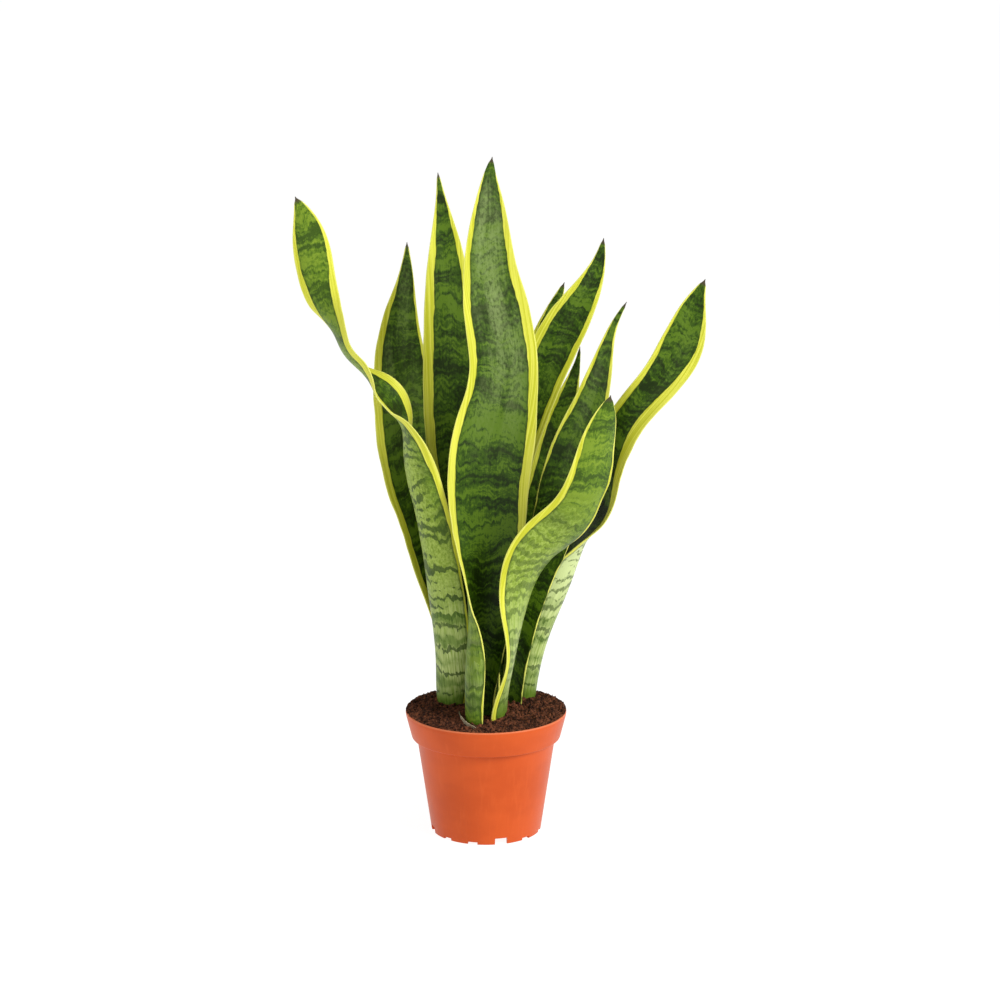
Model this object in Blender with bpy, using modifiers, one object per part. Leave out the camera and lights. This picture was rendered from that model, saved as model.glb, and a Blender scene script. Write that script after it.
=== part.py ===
"""A snake plant in a 12 cm nursery pot, in metres, +Z up.

The origin is the centre of the pot's flat foot boss, on the ground. -Y is the
plant's front and +X is its right. Each leaf is a sheet swept along its own
midrib: wide, rolled into a gutter at the foot and flatter higher up.
"""
import math

import bmesh
import bpy
import numpy as np

NAME = "potted_snake_plant"
MM = 0.001

# Pot: outer radii and heights, in millimetres.
POT_HEIGHT = 92.0
RIM_RADIUS = 60.0
COLLAR_HEIGHT = 20.0
COLLAR_FOOT_RADIUS = 55.3
NECK_RADIUS = 51.6
BASE_RADIUS = 41.0
WALL = 1.4
FLOOR_RAISE = 4.0
FLOOR_THICKNESS = 1.6
BOSS_RADIUS = 12.0
POT_STEPS = 40

# Notches and holes that drain the pot.
NOTCH_SETS = 4
NOTCH_TURN = 16.0
DEEP_NOTCH = (9.5, 5.0)
SHALLOW_NOTCH = (7.5, 2.0)
DRAIN_HOLES = 8
DRAIN_RADIUS = 4.0
DRAIN_RING = 27.0

# Potting soil: a low mound filling the pot.
SOIL_FLOOR = 6.0
SOIL_EDGE = 90.0
SOIL_CROWN = 94.0
GAP = 0.3
SOIL_STEPS = 40
SOIL_RINGS = 4

# Leaf blade thickness at the foot's midrib, and the share left at the margin.
BLADE_THICKNESS = 4.2
MARGIN_SHARE = 0.3
TIP_SHARE = 0.35
LEAF_ROWS = 24
TIP_CROWDING = 1.25

# Dry papery scale beside the front leaves: plan points and standing heights, in mm.
SCALE_THICKNESS = 0.6
SCALE_PATH = [(-19.0, -18.0), (-18.5, -27.0), (-17.0, -35.0), (-13.0, -43.0), (-7.0, -48.5)]
SCALE_HEIGHTS = [2.0, 3.5, 4.5, 3.5, 2.0]

# Midrib stations of each leaf, foot to tip, in millimetres and degrees:
# x, y, z, blade width, turn of the inner face (0 front, 90 right, 180 back), roll.
LEAVES = {
    "leaf_front_tall": [
        (-11, -27, 80, 40, 62, 240),
        (-12, -26, 100, 44, 62, 250),
        (-11, -18, 135, 54, 56, 240),
        (-5, -8, 165, 54, 36, 185),
        (0, -6, 195, 54, 20, 135),
        (1, -4, 245, 60, 5, 70),
        (5, -6, 294, 62, 0, 45),
        (13, -9, 350, 50, 0, 30),
        (8, -12, 391, 48, 0, 30),
        (3, -16, 432, 36, 0, 35),
        (3, -20, 467, 23, 0, 40),
        (4, -24, 497, 5, 0, 20),
        (5, -25, 503, 1.5, 0, 10),
    ],
    "leaf_front_curved": [
        (12, -19, 80, 34, -105, 60),
        (13, -19, 98, 36, -104, 60),
        (18.5, -18, 130, 40, -90, 50),
        (25, -17, 165, 45, -108, 70),
        (30, -20, 194, 48, -130, 76),
        (41, -28, 219, 52, -142, 66),
        (64, -39, 250, 41, -150, 50),
        (77, -49, 284, 36, -150, 40),
        (82, -56, 312, 27, -152, 40),
        (86, -61, 332, 11, -155, 20),
        (88, -62, 340, 1.5, -155, 10),
    ],
    "leaf_left_twisted": [
        (-28, 6, 80, 22, 150, 110),
        (-29, 6, 98, 28, 150, 110),
        (-30, 5, 120, 38, 140, 120),
        (-36, 4, 176, 46, 132, 118),
        (-46, 2, 238, 46, 128, 115),
        (-57, -2, 288, 46, 115, 105),
        (-61, -4, 309, 42, 90, 88),
        (-66, -4, 319, 39, 74, 80),
        (-71, -4.5, 327, 37, 70, 72),
        (-77, -5, 334, 36, 76, 62),
        (-84, -6, 342, 35, 93, 54),
        (-90, -7, 349, 34, 104, 50),
        (-101, -9, 362, 32, 110, 46),
        (-107, -11, 377, 30, 117, 40),
        (-113, -13, 391, 28, 138, 35),
        (-118, -15, 406, 27, 165, 30),
        (-124, -19, 442, 26, 180, 30),
        (-130, -22, 466, 11, 182, 20),
        (-134, -22, 475, 1.5, 182, 10),
    ],
    "leaf_right_twisted": [
        (34, 33, 80, 30, -86, 165),
        (36, 33, 98, 34, -86, 165),
        (46, 34, 140, 41, -90, 158),
        (61, 33, 178, 51, -92, 160),
        (71, 30, 208, 49, -92, 128),
        (77, 25, 225, 44, -80, 94),
        (84, 20, 242, 41, -58, 64),
        (88, 15, 264, 38, -50, 52),
        (93, 12, 285, 34, -44, 44),
        (101, 10, 304, 31, -38, 38),
        (127, 10, 338, 31, -20, 30),
        (144, 11, 368, 31, -12, 30),
        (152, 13, 395, 16, -10, 25),
        (159, 14, 412, 1.5, -10, 10),
    ],
    "leaf_back_left": [
        (-20, 38, 80, 26, 25, 110),
        (-20, 38, 98, 30, 25, 110),
        (-26, 41, 148, 36, 24, 85),
        (-37, 43, 190, 43, 26, 70),
        (-47, 47, 227, 47, 26, 55),
        (-58, 52, 272, 50, 24, 45),
        (-62, 57, 309, 48, 20, 40),
        (-65, 62, 346, 40, 15, 35),
        (-64, 66, 377, 27, 12, 35),
        (-60, 71, 407, 12, 10, 25),
        (-59, 74, 428, 3, 10, 15),
        (-59, 75, 432, 1.5, 10, 10),
    ],
    "leaf_back_tall": [
        (-2, 14, 80, 24, 0, 100),
        (-2, 14, 98, 27, 0, 100),
        (-5, 15, 140, 31, 2, 80),
        (-10, 17, 185, 35, 5, 60),
        (-17, 21, 239, 39, 5, 45),
        (-24, 26, 290, 42, 5, 40),
        (-26, 31, 342, 41, 5, 35),
        (-28, 36, 392, 35, 4, 35),
        (-30, 41, 437, 22, 3, 30),
        (-33, 45, 469, 7, 2, 20),
        (-35, 47, 486, 1.5, 0, 10),
    ],
    "leaf_back_right": [
        (10, 24, 80, 23, -12, 100),
        (10, 24, 98, 26, -12, 95),
        (8, 24, 150, 32, -12, 75),
        (8, 26, 199, 35, -12, 60),
        (13, 30, 248, 35, -12, 45),
        (27, 35, 300, 33, -10, 40),
        (39, 39, 331, 34, -8, 38),
        (54, 44, 365, 34, -6, 35),
        (73, 49, 397, 23, -5, 30),
        (84, 54, 422, 9, -4, 20),
        (87, 57, 437, 1.5, -4, 10),
    ],
    "leaf_back_slim": [
        (2, 46, 80, 20, -10, 80),
        (2, 47, 98, 22, -10, 80),
        (6, 49, 149, 28, -10, 60),
        (12, 54, 198, 31, -10, 50),
        (19, 60, 246, 33, -10, 45),
        (28, 67, 295, 31, -8, 40),
        (40, 76, 344, 24, -6, 35),
        (50, 84, 377, 13, -5, 25),
        (59, 90, 400, 1.5, -5, 10),
    ],
    "leaf_right_middle": [
        (22, 10, 80, 13, -40, 60),
        (22, 10, 98, 15, -38, 55),
        (28.5, 10, 150, 20, -28, 50),
        (38.5, 8, 198, 30, -16, 48),
        (48, 6, 224, 33, -16, 45),
        (55.5, 4, 254, 36, -16, 45),
        (64, 0, 288, 34, -16, 40),
        (75, -4, 320, 27, -14, 35),
        (84, -7, 353, 16, -10, 30),
        (93, -10, 384, 5, -8, 20),
        (101, -12, 399, 1.5, -8, 10),
    ],
    "leaf_right_small": [
        (16, 36, 80, 18, -20, 80),
        (17, 36, 98, 20, -20, 75),
        (22, 35, 150, 24, -18, 60),
        (32, 36, 198, 29, -16, 50),
        (43, 41, 246, 31, -14, 45),
        (53, 47, 287, 26, -12, 40),
        (62, 52, 322, 15, -10, 30),
        (69, 56, 349, 3, -8, 15),
        (70, 57, 356, 1.5, -8, 10),
    ],
}


def natural_spline(knots, values, at):
    """Natural cubic spline through values (one row per knot), read at the given positions."""
    steps = np.diff(knots)
    slopes = np.diff(values, axis=0) / steps[:, None]
    count = len(knots)
    system = np.eye(count)
    right = np.zeros_like(values)
    for i in range(1, count - 1):
        system[i, i - 1:i + 2] = steps[i - 1], 2 * (steps[i - 1] + steps[i]), steps[i]
        right[i] = 3 * (slopes[i] - slopes[i - 1])
    curve = np.linalg.solve(system, right)
    cell = np.clip(np.searchsorted(knots, at, side="right") - 1, 0, count - 2)
    local = (at - knots[cell])[:, None]
    step = steps[cell][:, None]
    linear = slopes[cell] - step * (2 * curve[cell] + curve[cell + 1]) / 3
    cubic = (curve[cell + 1] - curve[cell]) / (3 * step)
    return values[cell] + local * (linear + local * (curve[cell] + local * cubic))


def unit(vectors):
    return vectors / np.linalg.norm(vectors, axis=-1, keepdims=True)


def blade_sheet(stations, along, across, grow=0.0):
    """Points in mm of a leaf's middle sheet, for shares along (0 foot, 1 tip) and across (-1 to 1)."""
    table = np.array(stations, dtype=float)
    leaps = np.linalg.norm(np.diff(table[:, :3], axis=0), axis=1)
    knots = np.concatenate([[0.0], np.cumsum(leaps)])
    at = along * knots[-1]
    rows = natural_spline(knots, table, at)
    ahead = natural_spline(knots, table[:, :3], np.minimum(at + 0.5, knots[-1]))
    behind = natural_spline(knots, table[:, :3], np.maximum(at - 0.5, 0.0))
    tangent = unit(ahead - behind)
    turn = np.radians(rows[:, 4])
    inner = np.stack([np.sin(turn), -np.cos(turn), np.zeros(len(turn))], axis=1)
    inner = unit(inner - tangent * np.sum(inner * tangent, axis=1, keepdims=True))
    side = np.cross(inner, tangent)
    width = np.maximum(rows[:, 3], 1.0) + grow
    roll = np.radians(np.maximum(rows[:, 5], 4.0))
    radius = (width / roll)[:, None]
    swing = across[None, :] * roll[:, None] / 2
    out = (radius * np.sin(swing))[..., None] * side[:, None, :]
    lift = (radius * (1 - np.cos(swing)))[..., None] * inner[:, None, :]
    return rows[:, None, :3] + out + lift


def clear_scene():
    for obj in list(bpy.data.objects):
        bpy.data.objects.remove(obj, do_unlink=True)


def new_collection(name):
    collection = bpy.data.collections.new(name)
    bpy.context.scene.collection.children.link(collection)
    return collection


def new_material(name, colour, roughness):
    material = bpy.data.materials.new(name)
    material.use_nodes = True
    shader = material.node_tree.nodes["Principled BSDF"]
    shader.inputs["Base Color"].default_value = (*colour, 1.0)
    shader.inputs["Roughness"].default_value = roughness
    return material


def mesh_object(name, bm, collection, material=None):
    mesh = bpy.data.meshes.new(name)
    bm.to_mesh(mesh)
    bm.free()
    obj = bpy.data.objects.new(name, mesh)
    collection.objects.link(obj)
    if material:
        mesh.materials.append(material)
    return obj


def add_turned(name, profile, steps, collection, material):
    """A body of revolution from (radius, height) points in mm, running down its outer side."""
    bm = bmesh.new()
    corners = [bm.verts.new((r * MM, 0.0, z * MM)) for r, z in profile]
    for first, second in zip(corners, corners[1:]):
        bm.edges.new((first, second))
    obj = mesh_object(name, bm, collection, material)
    screw = obj.modifiers.new("turn", "SCREW")
    screw.axis = "Z"
    screw.angle = math.tau
    screw.steps = steps
    screw.render_steps = steps
    screw.use_merge_vertices = True
    screw.merge_threshold = 0.00001
    return obj


def cut(target, cutter):
    """Take the cutter out of the target and keep it as a hidden guide."""
    cutter.hide_render = True
    cutter.display_type = "WIRE"
    boolean = target.modifiers.new(cutter.name, "BOOLEAN")
    boolean.operation = "DIFFERENCE"
    boolean.object = cutter


def wall_radius(z):
    """Outer radius of the pot's plain wall at a height."""
    return BASE_RADIUS + (NECK_RADIUS - BASE_RADIUS) * z / (POT_HEIGHT - COLLAR_HEIGHT)


def add_pot(collection, guides, material):
    collar_foot = POT_HEIGHT - COLLAR_HEIGHT
    floor_top = FLOOR_RAISE + FLOOR_THICKNESS
    profile = [
        (RIM_RADIUS - WALL, POT_HEIGHT - 0.4),
        (RIM_RADIUS - WALL + 0.4, POT_HEIGHT),
        (RIM_RADIUS - 0.4, POT_HEIGHT),
        (RIM_RADIUS, POT_HEIGHT - 0.4),
        (RIM_RADIUS - 0.2, POT_HEIGHT - 2.0),
        (COLLAR_FOOT_RADIUS, collar_foot + 0.8),
        (COLLAR_FOOT_RADIUS - 0.8, collar_foot),
        (NECK_RADIUS, collar_foot - 0.4),
        (wall_radius(30.0), 30.0),
        (BASE_RADIUS, 0.6),
        (BASE_RADIUS - 0.5, 0.0),
        (BASE_RADIUS - 2.2, 0.0),
        (BASE_RADIUS - 2.4, FLOOR_RAISE),
        (BOSS_RADIUS + 1.0, FLOOR_RAISE),
        (BOSS_RADIUS, 0.0),
        (0.0, 0.0),
        (0.0, WALL),
        (BOSS_RADIUS - 1.5, WALL),
        (BOSS_RADIUS - 0.5, floor_top),
        (wall_radius(floor_top) - WALL, floor_top),
        (wall_radius(30.0) - WALL, 30.0),
        (NECK_RADIUS - WALL, collar_foot + 0.6),
        (COLLAR_FOOT_RADIUS - WALL - 0.4, collar_foot + 1.6),
        (RIM_RADIUS - WALL, POT_HEIGHT - 0.4),
    ]
    pot = add_turned("pot", profile, POT_STEPS, collection, material)
    cut(pot, add_notches(guides))
    cut(pot, add_drain_holes(guides))
    return pot


def add_box(bm, centre, size, turn):
    """A box in mm whose first axis points away from the pot's axis at a turn in degrees."""
    made = bmesh.ops.create_cube(bm, size=1.0)["verts"]
    angle = math.radians(turn)
    for corner in made:
        x = centre[0] + corner.co.x * size[0]
        y = centre[1] + corner.co.y * size[1]
        z = centre[2] + corner.co.z * size[2]
        corner.co.x = (x * math.cos(angle) - y * math.sin(angle)) * MM
        corner.co.y = (x * math.sin(angle) + y * math.cos(angle)) * MM
        corner.co.z = z * MM


def add_notches(guides):
    """Blocks that open the foot ring: one deep and two shallow notches in each set."""
    bm = bmesh.new()
    pitch = 360.0 / NOTCH_SETS
    for index in range(NOTCH_SETS):
        first = -90.0 + NOTCH_TURN + index * pitch
        for offset, (width, height) in ((0.0, DEEP_NOTCH), (-30.0, SHALLOW_NOTCH), (30.0, SHALLOW_NOTCH)):
            add_box(bm, (BASE_RADIUS, 0.0, height / 2 - 1.0), (6.0, width, height + 2.0), first + offset)
    return mesh_object("cut_notches", bm, guides)


def add_drain_holes(guides):
    bm = bmesh.new()
    for index in range(DRAIN_HOLES):
        angle = math.tau * (index + 0.5) / DRAIN_HOLES
        made = bmesh.ops.create_cone(
            bm, cap_ends=True, segments=12, radius1=DRAIN_RADIUS * MM, radius2=DRAIN_RADIUS * MM, depth=10 * MM
        )["verts"]
        offset = (DRAIN_RING * math.cos(angle) * MM, DRAIN_RING * math.sin(angle) * MM, FLOOR_RAISE * MM)
        bmesh.ops.translate(bm, verts=made, vec=offset)
    return mesh_object("cut_drain_holes", bm, guides)


def soil_height(radius):
    return SOIL_CROWN - (SOIL_CROWN - SOIL_EDGE) * (radius / RIM_RADIUS) ** 2


def inner_radius(z):
    """Radius of the pot's bore at a height, less the gap left round the soil."""
    collar_foot = POT_HEIGHT - COLLAR_HEIGHT
    if z <= collar_foot:
        return wall_radius(z) - WALL - GAP
    share = (z - collar_foot) / COLLAR_HEIGHT
    return COLLAR_FOOT_RADIUS + (RIM_RADIUS - COLLAR_FOOT_RADIUS) * share - WALL - GAP - 0.6


def add_soil(collection, material):
    collar_foot = POT_HEIGHT - COLLAR_HEIGHT
    edge = inner_radius(SOIL_EDGE)
    crown = [(edge * share, soil_height(edge * share)) for share in np.linspace(0.0, 1.0, SOIL_RINGS + 1)]
    side = [
        (inner_radius(collar_foot + 4.0), collar_foot + 4.0),
        (inner_radius(collar_foot) - 0.1, collar_foot + 0.8),
        (inner_radius(30.0), 30.0),
        (inner_radius(SOIL_FLOOR), SOIL_FLOOR),
        (0.0, SOIL_FLOOR),
    ]
    return add_turned("potting_soil", crown + side, SOIL_STEPS, collection, material)


def sheet_mesh(bm, points):
    """A grid of faces through rows of points given in mm; returns its vertices in the same rows."""
    rows, columns = points.shape[:2]
    made = bmesh.ops.create_grid(bm, x_segments=columns - 1, y_segments=rows - 1, size=1.0)["verts"]
    made.sort(key=lambda v: (round(v.co.y, 5), round(v.co.x, 5)))
    for index, vert in enumerate(made):
        vert.co = points[index // columns, index % columns] * MM
    return made


def add_sheet(name, points, thickness, shares, collection, material):
    """A sheet thickened about its middle, by a share of the thickness at each point."""
    bm = bmesh.new()
    sheet_mesh(bm, points)
    obj = mesh_object(name, bm, collection, material)
    group = obj.vertex_groups.new(name="thickness")
    for index, share in enumerate(shares.ravel()):
        group.add([index], float(share), "REPLACE")
    solid = obj.modifiers.new("thickness", "SOLIDIFY")
    solid.thickness = thickness * MM
    solid.offset = 0.0
    solid.vertex_group = group.name
    return obj


def blade_shares(along, across):
    """Thickness shares: full at the foot's midrib, thin at the margins and the tip."""
    lengthwise = 1.0 - (1.0 - TIP_SHARE) * along[:, None] ** 0.8
    crosswise = MARGIN_SHARE + (1.0 - MARGIN_SHARE) * (1.0 - np.abs(across[None, :]) ** 2.5)
    return lengthwise * crosswise


def blade_columns(stations):
    """Faces across a leaf: more for one that rolls up tightly."""
    return 8 if max(row[5] for row in stations) > 140 else 6


def blade_rows():
    """Shares along a leaf, foot to tip, crowding towards the tip."""
    return 1.0 - (1.0 - np.linspace(0.0, 1.0, LEAF_ROWS + 1)) ** TIP_CROWDING


def add_leaf(name, stations, collection, material):
    along = blade_rows()
    across = np.linspace(-1.0, 1.0, blade_columns(stations) + 1)
    points = blade_sheet(stations, along, across)
    return add_sheet(name, points, BLADE_THICKNESS, blade_shares(along, across), collection, material)


def add_seat(soil, name, stations, guides):
    """Cut the slot in the soil that a leaf's foot stands in, a gap wider all round."""
    along = blade_rows()[:3]
    across = np.linspace(-1.0, 1.0, blade_columns(stations) + 1)
    points = blade_sheet(stations, along, across, grow=2 * GAP)
    points[0] -= unit(points[1] - points[0]) * GAP
    shares = np.ones(points.shape[:2])
    seat = add_sheet("cut_" + name, points, BLADE_THICKNESS + 4 * GAP, shares, guides, None)
    cut(soil, seat)


def add_dry_scale(collection, material):
    """A dry papery scale standing in the soil beside the front leaves."""
    path = np.array(SCALE_PATH, dtype=float)
    bottom = np.array([soil_height(math.hypot(x, y)) + GAP for x, y in path])
    heights = np.array(SCALE_HEIGHTS, dtype=float)
    rows = []
    for share in np.linspace(0.0, 1.0, 3):
        lean = path * (1.0 - 0.02 * share)
        rows.append(np.column_stack([lean, bottom + heights * share]))
    points = np.stack(rows)
    return add_sheet("dry_scale", points, SCALE_THICKNESS, np.ones(points.shape[:2]), collection, material)


def main():
    clear_scene()
    plant = new_collection(NAME)
    guides = new_collection(NAME + "_guides")
    leaf_green = new_material("leaf_green", (0.05, 0.13, 0.03), 0.4)
    add_pot(plant, guides, new_material("pot_plastic", (0.72, 0.17, 0.05), 0.45))
    soil = add_soil(plant, new_material("potting_soil", (0.06, 0.03, 0.02), 0.95))
    for name, stations in LEAVES.items():
        add_leaf(name, stations, plant, leaf_green)
        add_seat(soil, name, stations, guides)
    add_dry_scale(plant, new_material("dry_scale", (0.55, 0.48, 0.38), 0.8))


main()
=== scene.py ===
"""The looks of a potted snake plant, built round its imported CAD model.

Everything stands in the model's own frame: the origin is under the pot, -Y is
the plant's front and +X its right. Sizes are in millimetres unless a name says
otherwise, and MM turns them into metres.
"""
import math

import bmesh
import bpy
import numpy as np
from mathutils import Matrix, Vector, noise


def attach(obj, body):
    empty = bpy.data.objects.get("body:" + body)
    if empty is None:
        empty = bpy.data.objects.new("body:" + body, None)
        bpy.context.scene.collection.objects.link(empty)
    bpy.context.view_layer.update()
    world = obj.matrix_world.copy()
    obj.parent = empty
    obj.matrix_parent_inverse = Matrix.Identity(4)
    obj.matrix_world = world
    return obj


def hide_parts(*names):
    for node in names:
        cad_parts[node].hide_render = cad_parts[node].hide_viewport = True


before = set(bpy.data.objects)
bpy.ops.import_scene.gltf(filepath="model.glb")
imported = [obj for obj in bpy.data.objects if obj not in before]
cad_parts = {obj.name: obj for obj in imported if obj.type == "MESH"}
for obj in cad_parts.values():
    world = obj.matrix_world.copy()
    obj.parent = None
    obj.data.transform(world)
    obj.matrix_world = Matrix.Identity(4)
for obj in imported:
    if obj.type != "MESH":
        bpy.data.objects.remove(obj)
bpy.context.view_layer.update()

MM = 0.001
RNG = np.random.default_rng(7)

# ---------------------------------------------------------------- dimensions

# Pot, as in the CAD model.
POT_HEIGHT = 92.0
RIM_RADIUS = 60.0
COLLAR_FOOT = 72.0
COLLAR_FOOT_RADIUS = 55.3
NECK_RADIUS = 51.6
BASE_RADIUS = 41.0
WALL = 1.4
FLOOR_RAISE = 4.0
FLOOR_THICKNESS = 1.6
BOSS_RADIUS = 12.0
POT_STEPS = 192
NOTCH_SETS = 4
NOTCH_TURN = 16.0
DEEP_NOTCH = (9.5, 5.0)
SHALLOW_NOTCH = (7.5, 2.0)
DRAIN_HOLES = 8
DRAIN_RADIUS = 4.0
DRAIN_RING = 27.0
CORNER_POINTS = 5
SHARP_ANGLE = 35.0

# Potting soil: a heap that stands level with the rim in front and over it behind.
SOIL_RINGS = 112
SOIL_SPOKES = 640
SOIL_CROWN = 95.0
SOIL_FRONT_EDGE = 90.4
SOIL_BACK_EDGE = 92.7
SOIL_FRONT_RADIUS = 58.2
SOIL_BACK_RADIUS = 59.7
SOIL_SKIRT_RADIUS = 57.4
SOIL_SKIRT_HEIGHT = 85.0
CRUMBS = 2300
CRUMB_SIZE = 0.62
CRUMB_MOST = 2.0
FIBRE_EVERY = 9

# Leaves: blade thickness at the foot's midrib, and the share left at margin and tip.
BLADE_THICKNESS = 4.2
MARGIN_SHARE = 0.3
TIP_SHARE = 0.35
LEAF_ROWS = 300
FACE_COLUMNS = 33
EDGE_WAVE = 1.3

# Dry scale: plan of its foot (x, y) and its height, one by one along it.
SCALE_PATH = [(-19.0, -18.0), (-18.5, -27.0), (-17.0, -35.0), (-13.0, -43.0), (-7.0, -48.5)]
SCALE_HEIGHTS = [2.2, 3.6, 4.6, 3.6, 2.0]
SCALE_LENGTH = 60.0
SCALE_THICKNESS = 0.35

# Studio, in metres and watts.
FLOOR_HALF = 80.0
FLOOR_TONE = 0.25
FLOOR_GLOW = 0.92
AMBIENT = 0.36
WHITE = (1.0, 1.0, 1.0, 1.0)
CAMERA_PLACE = (0.0104, -1.8, 0.6423)
CAMERA_DIP = 12.25
CAMERA_LENS = 90.6

# Midrib stations of each leaf, foot to tip, as in the CAD model:
# x, y, z, blade width, turn of the inner face (0 front, 90 right, 180 back), roll.
LEAVES = {
    "leaf_front_tall": [
        (-11, -27, 80, 40, 62, 240),
        (-12, -26, 100, 44, 62, 250),
        (-11, -18, 135, 54, 56, 240),
        (-5, -8, 165, 54, 36, 185),
        (0, -6, 195, 54, 20, 135),
        (1, -4, 245, 60, 5, 70),
        (5, -6, 294, 62, 0, 45),
        (13, -9, 350, 50, 0, 30),
        (8, -12, 391, 48, 0, 30),
        (3, -16, 432, 36, 0, 35),
        (3, -20, 467, 23, 0, 40),
        (4, -24, 497, 5, 0, 20),
        (5, -25, 503, 1.5, 0, 10),
    ],
    "leaf_front_curved": [
        (12, -19, 80, 34, -105, 60),
        (13, -19, 98, 36, -104, 60),
        (18.5, -18, 130, 40, -90, 50),
        (25, -17, 165, 45, -108, 70),
        (30, -20, 194, 48, -130, 76),
        (41, -28, 219, 52, -142, 66),
        (64, -39, 250, 41, -150, 50),
        (77, -49, 284, 36, -150, 40),
        (82, -56, 312, 27, -152, 40),
        (86, -61, 332, 11, -155, 20),
        (88, -62, 340, 1.5, -155, 10),
    ],
    "leaf_left_twisted": [
        (-28, 6, 80, 22, 150, 110),
        (-29, 6, 98, 28, 150, 110),
        (-30, 5, 120, 38, 140, 120),
        (-36, 4, 176, 46, 132, 118),
        (-46, 2, 238, 46, 128, 115),
        (-57, -2, 288, 46, 115, 105),
        (-61, -4, 309, 42, 90, 88),
        (-66, -4, 319, 39, 74, 80),
        (-71, -4.5, 327, 37, 70, 72),
        (-77, -5, 334, 36, 76, 62),
        (-84, -6, 342, 35, 93, 54),
        (-90, -7, 349, 34, 104, 50),
        (-101, -9, 362, 32, 110, 46),
        (-107, -11, 377, 30, 117, 40),
        (-113, -13, 391, 28, 138, 35),
        (-118, -15, 406, 27, 165, 30),
        (-124, -19, 442, 26, 180, 30),
        (-130, -22, 466, 11, 182, 20),
        (-134, -22, 475, 1.5, 182, 10),
    ],
    "leaf_right_twisted": [
        (34, 33, 80, 30, -86, 165),
        (36, 33, 98, 34, -86, 165),
        (46, 34, 140, 41, -90, 158),
        (61, 33, 178, 51, -92, 160),
        (71, 30, 208, 49, -92, 128),
        (77, 25, 225, 44, -80, 94),
        (84, 20, 242, 41, -58, 64),
        (88, 15, 264, 38, -50, 52),
        (93, 12, 285, 34, -44, 44),
        (101, 10, 304, 31, -38, 38),
        (127, 10, 338, 31, -20, 30),
        (144, 11, 368, 31, -12, 30),
        (152, 13, 395, 16, -10, 25),
        (159, 14, 412, 1.5, -10, 10),
    ],
    "leaf_back_left": [
        (-20, 38, 80, 26, 25, 110),
        (-20, 38, 98, 30, 25, 110),
        (-26, 41, 148, 36, 24, 85),
        (-37, 43, 190, 43, 26, 70),
        (-47, 47, 227, 47, 26, 55),
        (-58, 52, 272, 50, 24, 45),
        (-62, 57, 309, 48, 20, 40),
        (-65, 62, 346, 40, 15, 35),
        (-64, 66, 377, 27, 12, 35),
        (-60, 71, 407, 12, 10, 25),
        (-59, 74, 428, 3, 10, 15),
        (-59, 75, 432, 1.5, 10, 10),
    ],
    "leaf_back_tall": [
        (-2, 14, 80, 24, 0, 100),
        (-2, 14, 98, 27, 0, 100),
        (-5, 15, 140, 31, 2, 80),
        (-10, 17, 185, 35, 5, 60),
        (-17, 21, 239, 39, 5, 45),
        (-24, 26, 290, 42, 5, 40),
        (-26, 31, 342, 41, 5, 35),
        (-28, 36, 392, 35, 4, 35),
        (-30, 41, 437, 22, 3, 30),
        (-33, 45, 469, 7, 2, 20),
        (-35, 47, 486, 1.5, 0, 10),
    ],
    "leaf_back_right": [
        (10, 24, 80, 23, -12, 100),
        (10, 24, 98, 26, -12, 95),
        (8, 24, 150, 32, -12, 75),
        (8, 26, 199, 35, -12, 60),
        (13, 30, 248, 35, -12, 45),
        (27, 35, 300, 33, -10, 40),
        (39, 39, 331, 34, -8, 38),
        (54, 44, 365, 34, -6, 35),
        (73, 49, 397, 23, -5, 30),
        (84, 54, 422, 9, -4, 20),
        (87, 57, 437, 1.5, -4, 10),
    ],
    "leaf_back_slim": [
        (2, 46, 80, 20, -10, 80),
        (2, 47, 98, 22, -10, 80),
        (6, 49, 149, 28, -10, 60),
        (12, 54, 198, 31, -10, 50),
        (19, 60, 246, 33, -10, 45),
        (28, 67, 295, 31, -8, 40),
        (40, 76, 344, 24, -6, 35),
        (50, 84, 377, 13, -5, 25),
        (59, 90, 400, 1.5, -5, 10),
    ],
    "leaf_right_middle": [
        (22, 10, 80, 13, -40, 60),
        (22, 10, 98, 15, -38, 55),
        (28.5, 10, 150, 20, -28, 50),
        (38.5, 8, 198, 30, -16, 48),
        (48, 6, 224, 33, -16, 45),
        (55.5, 4, 254, 36, -16, 45),
        (64, 0, 288, 34, -16, 40),
        (75, -4, 320, 27, -14, 35),
        (84, -7, 353, 16, -10, 30),
        (93, -10, 384, 5, -8, 20),
        (101, -12, 399, 1.5, -8, 10),
    ],
    "leaf_right_small": [
        (16, 36, 80, 18, -20, 80),
        (17, 36, 98, 20, -20, 75),
        (22, 35, 150, 24, -18, 60),
        (32, 36, 198, 29, -16, 50),
        (43, 41, 246, 31, -14, 45),
        (53, 47, 287, 26, -12, 40),
        (62, 52, 322, 15, -10, 30),
        (69, 56, 349, 3, -8, 15),
        (70, 57, 356, 1.5, -8, 10),
    ],
}

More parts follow.
